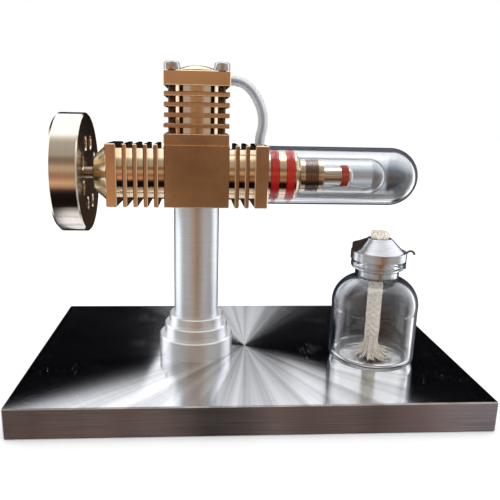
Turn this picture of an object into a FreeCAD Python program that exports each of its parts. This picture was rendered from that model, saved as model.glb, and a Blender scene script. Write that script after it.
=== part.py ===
"""Desk-top hot-air engine on a metal plate, with its spirit lamp.

Frame: +X to the right along the engine axis, +Y to the rear, +Z up.
Origin: centre of the plate's underside. Units: millimetres.
"""
import FreeCAD, Part
import math
import os

V = FreeCAD.Vector
X, Y, Z = V(1, 0, 0), V(0, 1, 0), V(0, 0, 1)

# ---- plate and column ----
plate_w, plate_d, plate_t = 150.0, 92.0, 10.0
plate_edge = 0.4
col_x, col_y = -18.4, -2.4
post_r = 7.9
foot_steps = [(13.2, 6.8), (11.4, 10.9), (9.75, 14.3)]     # radius, height above the plate
foot_break = 0.35
col_screw_r, col_head_r, col_head_h = 3.0, 5.0, 6.0         # M6 socket cap
col_screw_up = 12.0                                         # thread length inside the post
col_screw_z, col_key, col_key_depth = 0.4, 5.0, 3.0         # sunk 0.4 above the table
clearance = 0.3                                             # round screws and heads in their holes
reach = 1.0                                                 # how far a cutting tool runs past a face
near = 0.01                                                 # edges this close to a face belong to it

# ---- engine axis and blocks, measured from the column's axis ----
axis_z = plate_t + 64.5
block_w, block_h = 21.4, 20.6                               # along X, and along Y and Z
half_w, half_h = block_w / 2, block_h / 2
edge_break = 0.25
core_r = 8.7                                                # round body between the fins
chamber_r, chamber_front = 8.0, 8.3
cover_t, cover_hole_r, cover_hole_x, cover_hole_deep = 2.0, 0.8, 5.0, 1.2
post_screw_r, post_head_r, post_head_h = 2.0, 3.4, 1.6      # low-head M4
post_key, post_key_depth = 2.5, 1.0
post_seat, post_screw_low = -chamber_front, -20.3
stud_r, stud_x0, stud_x1 = 2.0, 8.2, 13.7                   # M4 stud, crankcase to cooler
seal_in, seal_out, seal_h = 6.2, 7.0, 0.8

left_end, left_cap, left_fin, left_gap = -29.6, 3.5, 1.45, 1.93
right_end, right_cap, right_fin, right_gap = 23.7, 4.45, 1.45, 1.9
top_flange, top_fin, top_gap, top_deck, top_end = 3.45, 1.45, 1.83, 28.7, 33.3

# ---- crank and power piston ----
throw = 2.5
shaft_r, shaft_left, shaft_break = 2.0, -49.7, 0.3
disc_grip = 1.2                                             # depth of the shaft's end in the crank disc
disc_r, disc_x0, disc_x1 = 5.5, -4.4, -2.0
pin_r, pin_end = 1.0, 1.7
rod_len, rod_t, rod_w, rod_relief = 17.0, 2.4, 1.8, 0.3
rod_big_r, rod_small_r = 2.0, 1.7
wrist_r, wrist_half = 0.9, 2.6
running = 0.05                                              # radial clearance of the bearings
liner_r, bore_r = 7.0, 6.0
piston_gap, piston_crown_z, piston_len, piston_crown = 0.03, 23.0, 10.2, 1.5
piston_cavity_r = 5.0
rod_way = 0.5                                               # round the bore, below the piston
oil_grooves, groove_w, groove_depth = [2.0, 3.6], 0.5, 0.35   # below the crown

# ---- ball bearings 4 x 10 x 4 ----
brg_r, brg_w, brg_outer_in, brg_inner_out = 5.0, 4.0, 4.2, 2.8
ball_r, ball_count = 0.67, 8
brg_left_x, brg_right_x = -29.4, -12.5
boss_r, boss_end = 6.5, -8.4
shaft_pass_r = 3.2

# ---- nose cone and flywheel ----
nose_r0, nose_r1, nose_end, nose_bore, nose_round = 10.2, 6.1, -34.3, 2.6, 0.9
wheel_r, wheel_x0, wheel_x1 = 19.85, -46.1, -36.7
wheel_edge_left, wheel_edge_right = 1.0, 0.45
wheel_hole_r, wheel_hole_pitch, wheel_holes, wheel_hole_sink = 2.35, 10.8, 8, 0.35
hub_r, hub_end, grub_r, grub_sunk, grub_key, grub_key_depth = 5.0, -49.2, 1.25, 0.3, 1.3, 1.2

# ---- hot end ----
tube_r, tube_wall, tube_tip = 10.0, 1.3, 77.5
spigot_r, spigot_end, spigot_break = 8.3, 34.4, 0.9
ring_centres, ring_w, ring_depth, ring_round = [26.2, 31.5], 3.0, 1.9, 0.85
gland_r, gland_end = 3.9, 35.0
guide_r, guide_start, guide_end, guide_round = 3.15, 15.0, 54.3, 1.6
bumper_x0, bumper_x1, bumper_r, bumper_depth, bumper_round = 50.0, 52.6, 3.8, 1.6, 0.7
disp_r, disp_wall, disp_start, disp_tip = 6.25, 0.55, 35.1, 66.1
plug_r, plug_start, plug_end = disp_r - disp_wall, 36.9, 41.5
plug_ribs, plug_groove, rib_share = 6, 0.6, 0.72          # of each rib's pitch
collar_start, collar_end = 35.3, 43.3                      # a collar on each side of the plug
port_r, port_z, port_x = 0.7, 4.45, 21.5

# ---- head, bolts, hose ----
bolt_at, bolt_r, bolt_hole_r, bolt_head_r, bolt_head_h, bolt_low = 8.0, 1.25, 1.35, 2.5, 2.8, 5.4
bolt_dome, bolt_key, bolt_key_depth = 1.1, 2.0, 1.4
dome_r, dome_wall, dome_top, dome_shank_r, dome_shank, dome_mid = 6.9, 0.6, 2.3, 2.0, 1.2, 0.6
hose_r, hose_bore = 1.65, 1.0
barb_r, barb_tip_r, barb_bore, barb_in, barb_out = 1.0, 0.65, 0.45, 2.4, 1.2
hose_head_z = 31.1
# hose route, X from the column's axis and Z from the engine's axis
hose_route = [(half_w, hose_head_z), (14.0, hose_head_z), (17.3, 29.3), (19.8, 26.4), (21.6, 22.9),
              (22.5, 19.2), (22.4, 15.7), (port_x, 12.9), (port_x, half_h)]

# ---- spirit lamp, heights above the plate ----
lamp_x, lamp_y = 45.0, -11.0
glass_r, glass_wall, glass_floor, glass_heel, inner_heel = 14.9, 1.5, 1.2, 2.4, 2.0
inner_drop = 1.0                                            # the shoulder is that much lower inside
under_r, under_rise = 11.0, 0.45                            # the bottle's hollow underside
shoulder_out, shoulder_up = 0.80, 0.60                      # where the shoulder's arc passes, as shares
body_h, shoulder_h, neck_r, neck_top = 19.6, 30.4, 7.5, 32.9
lip_r, lip_z0, lip_z1, lip_round, lip_in = 9.15, 33.4, 36.75, 1.3, 0.3     # lip_in: share lost at 45 degrees
mouth_r = 6.0
cap_r, cap_z0, cap_z1 = 9.45, 36.85, 39.7
cap_cone_r, cap_tip_r, cap_tip_z = 8.6, 4.15, 44.1
cap_plug_r, cap_plug_z = 5.7, 30.0
wick_r, wick_head_r, wick_top, wick_step = 2.7, 3.85, 47.4, 0.1
wick_foot_r, wick_foot_h, wick_hem = 6.6, 5.0, 0.8
wick_low = glass_floor + 0.2
clip_wire_r, clip_low, clip_high, clip_reach, clip_rise = 0.4, 33.1, 38.2, 3.0, 1.3
clip_foot, clip_gap = 37.6, 0.1
tab_t = 1.2                                                 # thumb tab, standing on the cap's left
tab_outline = [(-9.3, 39.7), (-9.3, 42.4), (-8.7, 42.9), (-6.9, 43.3),
               (-4.3, 44.2), (-4.3, 43.25), (-8.6, 39.7)]


def at(x, y, z):
    """A point given from the column's axis and the engine's axis."""
    return V(col_x + x, col_y + y, axis_z + z)


def rod_x(r, x0, x1, y=0.0, z=0.0):
    return Part.makeCylinder(r, x1 - x0, at(x0, y, z), X)


def rod_z(r, z0, z1, x=0.0, y=0.0):
    return Part.makeCylinder(r, z1 - z0, at(x, y, z0), Z)


def block(x0, x1, y0, y1, z0, z1):
    return Part.makeBox(x1 - x0, y1 - y0, z1 - z0, at(x0, y0, z0))


def square_x(x0, x1, h=half_h):
    """A square slab across the X axis, with its long edges broken."""
    slab = block(x0, x1, -h, h, -h, h)
    return slab.makeChamfer(edge_break, slab.Edges)


def square_z(z0, z1):
    slab = block(-half_w, half_w, -half_h, half_h, z0, z1)
    return slab.makeChamfer(edge_break, slab.Edges)


def tube_x(r_out, r_in, x0, x1):
    return rod_x(r_out, x0, x1).cut(rod_x(r_in, x0 - reach, x1 + reach))


def soft_ring_x(r_out, depth, x0, x1, rounding):
    """A squeezed rubber ring round the X axis: a ring with round edges."""
    ring = tube_x(r_out, r_out - depth, x0, x1)
    round_edges = [e for e in ring.Edges if isinstance(e.Curve, Part.Circle)]
    return ring.makeFillet(rounding, round_edges)


def fuse(shapes):
    return shapes[0].multiFuse(shapes[1:]).removeSplitter()


def lathe(points, centre):
    """Revolve a closed outline of (radius, height) points or arcs about +Z through centre."""
    edges = []
    for start, via, end in points:
        a, b = V(start[0], 0, start[1]), V(end[0], 0, end[1])
        if via is None:
            edges.append(Part.LineSegment(a, b).toShape())
        else:
            edges.append(Part.Arc(a, V(via[0], 0, via[1]), b).toShape())
    solid = Part.Face(Part.Wire(edges)).revolve(V(0, 0, 0), Z, 360)
    if solid.Volume < 0:
        solid.reverse()
    solid.translate(centre)
    return solid


def outline(corners):
    """Straight sides through the corners, closed."""
    ends = corners[1:] + corners[:1]
    return [(a, None, b) for a, b in zip(corners, ends)]


def save(node, shape):
    if not shape.isValid():
        raise ValueError(node + " is not valid")
    shape.exportStep("parts/" + node + ".step")
    print(node, "solids", len(shape.Solids), "volume", round(shape.Volume, 1))


# ---------------------------------------------------------------- plate and column
def base_plate():
    plate = Part.makeBox(plate_w, plate_d, plate_t, V(-plate_w / 2, -plate_d / 2, 0))
    plate = plate.makeChamfer(plate_edge, plate.Edges)
    centre = V(col_x, col_y, 0)
    through = Part.makeCylinder(col_screw_r + clearance, plate_t, centre, Z)
    sunk = Part.makeCylinder(col_head_r + clearance, col_screw_z + col_head_h, centre, Z)
    return plate.cut(through).cut(sunk)


def column_screw():
    base = V(col_x, col_y, col_screw_z)
    head = Part.makeCylinder(col_head_r, col_head_h, base, Z)
    shank = Part.makeCylinder(col_screw_r, plate_t + col_screw_up - col_screw_z, base, Z)
    key = hex_prism(col_key, col_key_depth, base)
    return fuse([head, shank]).cut(key)


def hex_prism(across_flats, depth, base):
    r = across_flats / math.sqrt(3)
    angles = [math.radians(60 * i) for i in range(7)]
    ring = [base + V(r * math.cos(a), r * math.sin(a), 0) for a in angles]
    return Part.Face(Part.makePolygon(ring)).extrude(V(0, 0, depth))


def column_foot():
    steps = []
    low = 0.0
    for r, top in foot_steps:
        step = Part.makeCylinder(r, top - low, V(col_x, col_y, plate_t + low), Z)
        rim = [e for e in step.Edges if e.CenterOfMass.z > plate_t + top - near]
        steps.append(step.makeChamfer(foot_break, rim))
        low = top
    height = foot_steps[-1][1]
    bore = Part.makeCylinder(post_r, height + reach, V(col_x, col_y, plate_t), Z)
    return fuse(steps).cut(bore)


def column_post():
    top = axis_z - half_h
    post = Part.makeCylinder(post_r, top - plate_t, V(col_x, col_y, plate_t), Z)
    low = Part.makeCylinder(col_screw_r, col_screw_up + reach, V(col_x, col_y, plate_t), Z)
    high = rod_z(post_screw_r, post_screw_low - reach, -half_h)
    return post.cut(low).cut(high)


def post_screw():
    shank = rod_z(post_screw_r, post_screw_low, post_seat)
    head = rod_z(post_head_r, post_seat, post_seat + post_head_h)
    key = hex_prism(post_key, post_key_depth, at(0, 0, post_seat + post_head_h - post_key_depth))
    return fuse([shank, head]).cut(key)


# ---------------------------------------------------------------- frame blocks
def crankcase():
    case = block(-half_w, half_w, -half_h, half_h, -half_h, half_h)
    case = case.makeChamfer(edge_break, case.Edges)
    depth = chamber_front + half_h
    chamber = Part.makeCylinder(chamber_r, depth, at(0, -chamber_front, 0), Y)
    case = case.cut(chamber)
    case = case.cut(rod_x(boss_r, -half_w, 0))
    case = case.cut(rod_z(bore_r + rod_way, 0, half_h))
    case = case.cut(rod_z(post_head_r + clearance, post_seat, 0))
    case = case.cut(rod_z(post_screw_r, -half_h, post_seat))
    case = case.cut(rod_x(stud_r, 0, half_w))
    for bx, by in bolt_places():
        case = case.cut(rod_z(bolt_r, bolt_low, half_h, bx, by))
    return case


def bolt_places():
    return [(sx * bolt_at, sy * bolt_at) for sx in (-1, 1) for sy in (-1, 1)]


def crankcase_cover():
    """A threaded disc in the rear of the crank chamber, with two holes for a pin spanner."""
    cover = Part.makeCylinder(chamber_r, cover_t, at(0, half_h - cover_t, 0), Y)
    for side in (-1, 1):
        mouth = at(side * cover_hole_x, half_h - cover_hole_deep, 0)
        cover = cover.cut(Part.makeCylinder(cover_hole_r, cover_t, mouth, Y))
    return cover


def fins(first, count, fin, gap):
    """Start of each fin, where first is the start of the gap before fin one."""
    return [first + gap + i * (fin + gap) for i in range(count)]


def bearing_housing():
    body = [square_x(left_end, left_end + left_cap)]
    body.append(rod_x(core_r, left_end + reach, -half_w))
    for x0 in fins(left_end + left_cap, 4, left_fin, left_gap):
        body.append(square_x(x0, x0 + left_fin))
    body.append(rod_x(boss_r, -half_w - reach, boss_end))
    housing = fuse(body)
    housing = housing.cut(rod_x(shaft_pass_r, left_end - reach, boss_end + reach))
    for x0 in (brg_left_x, brg_right_x):
        housing = housing.cut(rod_x(brg_r, x0, x0 + brg_w))
    housing = housing.cut(rod_x(brg_r, left_end - reach, brg_left_x))
    return housing.cut(rod_x(brg_r, brg_right_x + brg_w, boss_end + reach))


def nose_cone():
    length = left_end - nose_end
    cone = Part.makeCone(nose_r1, nose_r0, length, at(nose_end, 0, 0), X)
    small = [e for e in cone.Edges if e.CenterOfMass.x < col_x + nose_end + near]
    cone = cone.makeFillet(nose_round, small)
    return cone.cut(rod_x(nose_bore, nose_end - reach, left_end + reach))


def races(r_out, r_in):
    return Part.makeCompound([tube_x(r_out, r_in, x0, x0 + brg_w) for x0 in (brg_left_x, brg_right_x)])


def bearing_balls():
    pitch = (brg_outer_in + brg_inner_out) / 2
    balls = []
    for x0 in (brg_left_x, brg_right_x):
        for i in range(ball_count):
            a = 2 * math.pi * i / ball_count
            centre = at(x0 + brg_w / 2, pitch * math.cos(a), pitch * math.sin(a))
            balls.append(Part.makeSphere(ball_r, centre))
    return Part.makeCompound(balls)


def cooler_block():
    body = [square_x(right_end - right_cap, right_end)]
    body.append(rod_x(core_r, half_w, right_end))
    for x0 in fins(half_w, 2, right_fin, right_gap):
        body.append(square_x(x0, x0 + right_fin))
    spigot = rod_x(spigot_r, right_end, spigot_end)
    rim = [e for e in spigot.Edges if e.CenterOfMass.x > col_x + spigot_end - near]
    body.append(spigot.makeChamfer(spigot_break, rim))
    body.append(rod_x(gland_r, spigot_end, gland_end))
    cooler = fuse(body)
    bore = tube_r - tube_wall
    for centre in ring_centres:
        x0, x1 = centre - ring_w / 2, centre + ring_w / 2
        cooler = cooler.cut(tube_x(bore + reach, bore - ring_depth, x0, x1))
    cooler = cooler.cut(rod_x(guide_r, guide_start, gland_end + reach))
    cooler = cooler.cut(rod_x(stud_r, half_w, stud_x1))
    cooler = cooler.cut(rod_x(port_r, port_x, spigot_end + reach, 0, port_z))
    cooler = cooler.cut(rod_z(port_r, port_z, half_h, port_x))
    return cooler.cut(rod_z(barb_r, half_h - barb_in, half_h, port_x))


def power_cylinder():
    body = [square_z(half_h, half_h + top_flange)]
    body.append(rod_z(core_r, half_h + reach, top_deck))
    for z0 in fins(half_h + top_flange, 4, top_fin, top_gap):
        body.append(square_z(z0, z0 + top_fin))
    cylinder = fuse(body).cut(rod_z(liner_r, half_h - reach, top_deck + reach))
    for bx, by in bolt_places():
        cylinder = cylinder.cut(rod_z(bolt_hole_r, half_h - reach, top_deck + reach, bx, by))
    return cylinder


def cylinder_head():
    head = square_z(top_deck, top_end)
    for bx, by in bolt_places():
        head = head.cut(rod_z(bolt_hole_r, top_deck - reach, top_end + reach, bx, by))
    head = head.cut(rod_z(port_r, top_deck, hose_head_z))
    head = head.cut(rod_x(port_r, 0, half_w, 0, hose_head_z))
    head = head.cut(rod_x(barb_r, half_w - barb_in, half_w, 0, hose_head_z))
    head = head.cut(rod_z(dome_shank_r, top_end - dome_shank, top_end))
    groove = rod_z(seal_out, top_deck, top_deck + seal_h).cut(rod_z(seal_in, top_deck, top_end))
    return head.cut(groove)


def head_dome():
    """A round cap screwed into the head: a short wall under a shallow dome."""
    rise = dome_top - dome_wall
    ball = (dome_r ** 2 + rise ** 2) / (2 * rise)
    mid_r = dome_r * dome_mid
    mid_z = dome_wall + rise - ball + math.sqrt(ball ** 2 - mid_r ** 2)
    sides = [((0, 0), None, (dome_r, 0)),
             ((dome_r, 0), None, (dome_r, dome_wall)),
             ((dome_r, dome_wall), (mid_r, mid_z), (0, dome_top)),
             ((0, dome_top), None, (0, 0))]
    cap = lathe(sides, at(0, 0, top_end))
    return fuse([cap, rod_z(dome_shank_r, top_end - dome_shank, top_end)])


def head_bolts():
    bolts = []
    for bx, by in bolt_places():
        shank = rod_z(bolt_r, bolt_low, top_end, bx, by)
        head = rod_z(bolt_head_r, top_end, top_end + bolt_head_h, bx, by)
        rim = [e for e in head.Edges if e.CenterOfMass.z > axis_z + top_end + bolt_head_h - near]
        head = head.makeFillet(bolt_dome, rim)
        key = hex_prism(bolt_key, bolt_key_depth, at(bx, by, top_end + bolt_head_h - bolt_key_depth))
        bolts.append(fuse([shank, head]).cut(key))
    return Part.makeCompound(bolts)


# ---------------------------------------------------------------- hose
def run_and_arc_wire(route):
    """Straight runs joined by tangent arcs, each arc as large as its two runs allow."""
    edges = []
    radii = []
    length = 0.0
    start = route[0]
    for before, corner, after in zip(route, route[1:], route[2:]):
        into, out = corner - before, after - corner
        half_turn = into.getAngle(out) / 2
        radius = 0.45 * min(into.Length, out.Length) / math.tan(half_turn)
        back = radius * math.tan(half_turn)
        into.normalize()
        out.normalize()
        first, last = corner - into * back, corner + out * back
        inward = out - into
        inward.normalize()
        middle = corner + inward * (radius / math.cos(half_turn) - radius)
        edges.append(Part.LineSegment(start, first).toShape())
        edges.append(Part.Arc(first, middle, last).toShape())
        length += (first - start).Length + radius * 2 * half_turn
        radii.append(round(radius, 1))
        start = last
    edges.append(Part.LineSegment(start, route[-1]).toShape())
    length += (route[-1] - start).Length
    return Part.Wire(edges), length, radii


def swept(wire, r, start, direction):
    ring = Part.Wire([Part.Circle(start, direction, r).toShape()])
    return wire.makePipeShell([ring], True, False)


def air_hose():
    route = [at(x, 0, z) for x, z in hose_route]
    wire, length, radii = run_and_arc_wire(route)
    outer = swept(wire, hose_r, route[0], route[1] - route[0])
    inner = swept(wire, hose_bore, route[0], route[1] - route[0])
    hose = outer.cut(inner)
    expected = math.pi * (hose_r ** 2 - hose_bore ** 2) * length
    print("air_hose length", round(length, 2), "arc radii", radii)
    print("air_hose volume", round(hose.Volume, 1), "section times length", round(expected, 1))
    return hose


def hose_barbs():
    """Two short tubes pressed into the head and the cooler, with the hose's ends over their tips."""
    head = fuse([rod_x(barb_r, half_w - barb_in, half_w, 0, hose_head_z),
                 rod_x(barb_tip_r, half_w - barb_in, half_w + barb_out, 0, hose_head_z)])
    low = fuse([rod_z(barb_r, half_h - barb_in, half_h, port_x),
                rod_z(barb_tip_r, half_h - barb_in, half_h + barb_out, port_x)])
    head = head.cut(rod_x(barb_bore, 0, half_w + barb_out + reach, 0, hose_head_z))
    low = low.cut(rod_z(barb_bore, 0, half_h + barb_out + reach, port_x))
    return Part.makeCompound([head, low])


# ---------------------------------------------------------------- crank, rod and piston
def crankshaft():
    shaft = rod_x(shaft_r, shaft_left, disc_x0 + disc_grip)
    left = [e for e in shaft.Edges if e.CenterOfMass.x < col_x + shaft_left + near]
    return shaft.makeChamfer(shaft_break, left)


def crank_disc():
    disc = rod_x(disc_r, disc_x0, disc_x1)
    disc = disc.cut(rod_x(pin_r, disc_x0 + disc_grip, disc_x1, 0, -throw))
    return disc.cut(rod_x(shaft_r, disc_x0, disc_x0 + disc_grip))


def flywheel():
    wheel = rod_x(wheel_r, wheel_x0, wheel_x1)
    middle = col_x + (wheel_x0 + wheel_x1) / 2
    rims = [e for e in wheel.Edges if isinstance(e.Curve, Part.Circle)]
    wheel = wheel.makeChamfer(wheel_edge_left, [e for e in rims if e.CenterOfMass.x < middle])
    right_rim = [e for e in wheel.Edges if isinstance(e.Curve, Part.Circle) and e.CenterOfMass.x > middle]
    wheel = wheel.makeChamfer(wheel_edge_right, right_rim)
    wheel = wheel.fuse(rod_x(hub_r, hub_end, wheel_x0))
    for i in range(wheel_holes):
        a = 2 * math.pi * (i + 0.5) / wheel_holes
        y, z = wheel_hole_pitch * math.cos(a), wheel_hole_pitch * math.sin(a)
        wheel = wheel.cut(rod_x(wheel_hole_r, wheel_x0 - reach, wheel_x1 + reach, y, z))
        for face, way in ((wheel_x0, X), (wheel_x1, -X)):
            wheel = wheel.cut(Part.makeCone(wheel_hole_r + wheel_hole_sink, wheel_hole_r, wheel_hole_sink,
                                            at(face, y, z), way))
    wheel = wheel.cut(rod_x(shaft_r, hub_end - reach, wheel_x1 + reach))
    return wheel.cut(rod_z(grub_r, 0, hub_r + reach, (hub_end + wheel_x0) / 2)).removeSplitter()


def flywheel_grub_screw():
    x = (hub_end + wheel_x0) / 2
    top = hub_r - grub_sunk
    screw = rod_z(grub_r, 0, top, x)
    key = hex_prism(grub_key, grub_key_depth, at(x, 0, top - grub_key_depth))
    return screw.cut(key).cut(rod_x(shaft_r, hub_end, wheel_x0))


def connecting_rod():
    x0, x1 = -rod_t / 2, rod_t / 2
    big = rod_x(rod_big_r, x0, x1, 0, -throw)
    small = rod_x(rod_small_r, x0, x1, 0, rod_len - throw)
    bar = block(x0 + rod_relief, x1 - rod_relief, -rod_w / 2, rod_w / 2, -throw, rod_len - throw)
    rod = fuse([big, small, bar])
    rod = rod.cut(rod_x(pin_r + running, x0 - reach, x1 + reach, 0, -throw))
    return rod.cut(rod_x(wrist_r, x0 - reach, x1 + reach, 0, rod_len - throw))


def piston():
    low = piston_crown_z - piston_len
    body = rod_z(bore_r - piston_gap, low, piston_crown_z)
    for below in oil_grooves:
        z0, z1 = piston_crown_z - below, piston_crown_z - below + groove_w
        groove = rod_z(bore_r + reach, z0, z1).cut(rod_z(bore_r - groove_depth, z0, z1))
        body = body.cut(groove)
    return body.cut(rod_z(piston_cavity_r, low - reach, piston_crown_z - piston_crown))


# ---------------------------------------------------------------- hot end
def test_tube(r, wall, x0, tip):
    """A glass tube along X, open at x0, with a half-round closed end."""
    centre = tip - r
    outer = fuse([rod_x(r, x0, centre), Part.makeSphere(r, at(centre, 0, 0))])
    inner = fuse([rod_x(r - wall, x0 - r, centre), Part.makeSphere(r - wall, at(centre, 0, 0))])
    return outer.cut(inner)


def spigot_o_rings():
    bore = tube_r - tube_wall
    rings = []
    for centre in ring_centres:
        x0, x1 = centre - ring_w / 2, centre + ring_w / 2
        rings.append(soft_ring_x(bore, ring_depth, x0, x1, ring_round))
    return Part.makeCompound(rings)


def guide_rod():
    rod = rod_x(guide_r, guide_start, guide_end)
    tip = [e for e in rod.Edges if e.CenterOfMass.x > col_x + guide_end - near]
    rod = rod.makeFillet(guide_round, tip)
    return rod.cut(tube_x(guide_r + reach, bumper_r - bumper_depth, bumper_x0, bumper_x1))


def displacer_plug():
    """A ribbed stopper that grips the inside of the displacer's glass and slides on the guide rod."""
    plug = rod_x(plug_r, plug_start, plug_end)
    pitch = (plug_end - plug_start) / plug_ribs
    for i in range(plug_ribs - 1):
        x0 = plug_start + (i + rib_share) * pitch
        x1 = plug_start + (i + 1) * pitch + (1 - rib_share) * pitch
        plug = plug.cut(tube_x(plug_r + reach, plug_r - plug_groove, x0, x1))
    return plug.cut(rod_x(guide_r + running, plug_start - reach, plug_end + reach))


def displacer_collars():
    slide_r = guide_r + running
    return Part.makeCompound([tube_x(plug_r, slide_r, collar_start, plug_start),
                              tube_x(plug_r, slide_r, plug_end, collar_end)])


# ---------------------------------------------------------------- lamp
def lamp_bottle():
    wall = glass_wall
    inner_r = glass_r - wall
    heel = glass_heel
    k = math.sqrt(0.5)
    mid = (neck_r + (glass_r - neck_r) * shoulder_out, body_h + (shoulder_h - body_h) * shoulder_up)
    in_mid = (mid[0] - wall * shoulder_out, mid[1] - wall * shoulder_out)
    heel_mid = (glass_r - heel * (1 - k), heel * (1 - k))
    in_heel = inner_heel
    in_heel_mid = (inner_r - in_heel * (1 - k), glass_floor + in_heel * (1 - k))
    lip_mid_low = (lip_r - lip_in * lip_round, lip_z0 + lip_in * lip_round)
    lip_mid_top = (lip_r - lip_in * lip_round, lip_z1 - lip_in * lip_round)
    under_mid = (under_r * shoulder_up, under_rise * (1 - shoulder_up ** 2))
    sides = [((0, under_rise), under_mid, (under_r, 0)),
             ((under_r, 0), None, (glass_r - heel, 0)),
             ((glass_r - heel, 0), heel_mid, (glass_r, heel)),
             ((glass_r, heel), None, (glass_r, body_h)),
             ((glass_r, body_h), mid, (neck_r, shoulder_h)),
             ((neck_r, shoulder_h), None, (neck_r, neck_top)),
             ((neck_r, neck_top), None, (lip_r - lip_round, lip_z0)),
             ((lip_r - lip_round, lip_z0), lip_mid_low, (lip_r, lip_z0 + lip_round)),
             ((lip_r, lip_z0 + lip_round), None, (lip_r, lip_z1 - lip_round)),
             ((lip_r, lip_z1 - lip_round), lip_mid_top, (lip_r - lip_round, lip_z1)),
             ((lip_r - lip_round, lip_z1), None, (mouth_r, lip_z1)),
             ((mouth_r, lip_z1), None, (mouth_r, shoulder_h - inner_drop)),
             ((mouth_r, shoulder_h - inner_drop), in_mid, (inner_r, body_h - inner_drop)),
             ((inner_r, body_h - inner_drop), None, (inner_r, glass_floor + in_heel)),
             ((inner_r, glass_floor + in_heel), in_heel_mid, (inner_r - in_heel, glass_floor)),
             ((inner_r - in_heel, glass_floor), None, (0, glass_floor)),
             ((0, glass_floor), None, (0, under_rise))]
    return lathe(sides, V(lamp_x, lamp_y, plate_t))


def lamp_cap():
    """A turned cap that sits on the lip, with a plug in the mouth and a cone round the wick."""
    corners = [(wick_r, cap_plug_z), (cap_plug_r, cap_plug_z), (cap_plug_r, cap_z0),
               (cap_r, cap_z0), (cap_r, cap_z1), (cap_cone_r, cap_z1),
               (cap_tip_r, cap_tip_z), (wick_r, cap_tip_z)]
    return lathe(outline(corners), V(lamp_x, lamp_y, plate_t))


def lamp_wick():
    corners = [(0, wick_low), (wick_foot_r, wick_low), (wick_foot_r, wick_low + wick_hem),
               (wick_r, wick_low + wick_foot_h), (wick_r, cap_tip_z),
               (wick_head_r, cap_tip_z + wick_step), (wick_head_r, wick_top), (0, wick_top)]
    return lathe(outline(corners), V(lamp_x, lamp_y, plate_t))


def lamp_clip():
    """A bent wire down the right of the cap and lip, with its top curled out as a finger hook."""
    x0 = lamp_x + cap_r + clip_wire_r + clip_gap
    low = V(x0, lamp_y, plate_t + clip_low)
    high = V(x0, lamp_y, plate_t + clip_high)
    crest = high + V(clip_reach / 2, 0, clip_rise)
    end = high + V(clip_reach, 0, 0)
    path = Part.Wire([Part.LineSegment(low, high).toShape(), Part.Arc(high, crest, end).toShape()])
    wire = swept(path, clip_wire_r, low, Z)
    foot_w = 2 * clip_wire_r
    corner = V(lamp_x + cap_r - foot_w / 2, lamp_y - foot_w / 2, plate_t + clip_foot)
    return fuse([wire, Part.makeBox(x0 - corner.x, foot_w, foot_w, corner)])


def lamp_tab():
    """A small plate standing on the left of the cap, to lift the cap by."""
    corners = [V(lamp_x + x, lamp_y - tab_t / 2, plate_t + z) for x, z in tab_outline]
    return Part.Face(Part.makePolygon(corners + corners[:1])).extrude(V(0, tab_t, 0))


def build():
    os.makedirs("parts", exist_ok=True)
    save("base_plate", base_plate())
    save("column_screw", column_screw())
    save("column_foot", column_foot())
    save("column_post", column_post())
    save("post_screw", post_screw())
    save("crankcase", crankcase())
    save("crankcase_cover", crankcase_cover())
    save("bearing_housing", bearing_housing())
    save("nose_cone", nose_cone())
    save("bearing_outer_races", races(brg_r, brg_outer_in))
    save("bearing_balls", bearing_balls())
    save("cooler_stud", rod_x(stud_r, stud_x0, stud_x1))
    save("cooler_block", cooler_block())
    save("hot_tube", test_tube(tube_r, tube_wall, right_end, tube_tip))
    save("spigot_o_rings", spigot_o_rings())
    save("guide_rod", guide_rod())
    save("bumper_ring", soft_ring_x(bumper_r, bumper_depth, bumper_x0, bumper_x1, bumper_round))
    save("power_cylinder", power_cylinder())
    save("cylinder_liner", rod_z(liner_r, half_h, top_deck).cut(rod_z(bore_r, half_h - reach, top_end)))
    save("cylinder_head", cylinder_head())
    save("head_seal", rod_z(seal_out, top_deck, top_deck + seal_h).cut(rod_z(seal_in, top_deck - reach, top_end)))
    save("head_dome", head_dome())
    save("head_bolts", head_bolts())
    save("hose_barbs", hose_barbs())
    save("air_hose", air_hose())
    save("crankshaft", crankshaft())
    save("crank_disc", crank_disc())
    save("crank_pin", rod_x(pin_r, disc_x0 + disc_grip, pin_end, 0, -throw))
    save("flywheel", flywheel())
    save("flywheel_grub_screw", flywheel_grub_screw())
    save("bearing_inner_races", races(brg_inner_out, shaft_r))
    save("connecting_rod", connecting_rod())
    save("wrist_pin", rod_x(wrist_r, -wrist_half, wrist_half, 0, rod_len - throw))
    save("piston", piston())
    save("displacer_tube", test_tube(disp_r, disp_wall, disp_start, disp_tip))
    save("displacer_plug", displacer_plug())
    save("displacer_collars", displacer_collars())
    save("lamp_bottle", lamp_bottle())
    save("lamp_cap", lamp_cap())
    save("lamp_wick", lamp_wick())
    save("lamp_clip", lamp_clip())
    save("lamp_tab", lamp_tab())


build()
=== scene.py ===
"""Looks of the desk-top hot-air engine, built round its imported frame.

Metres, in the row frame: +X right along the engine's axis, +Y to the rear, +Z up.
"""
import math
import random

import bpy
from mathutils import Matrix, Vector


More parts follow.
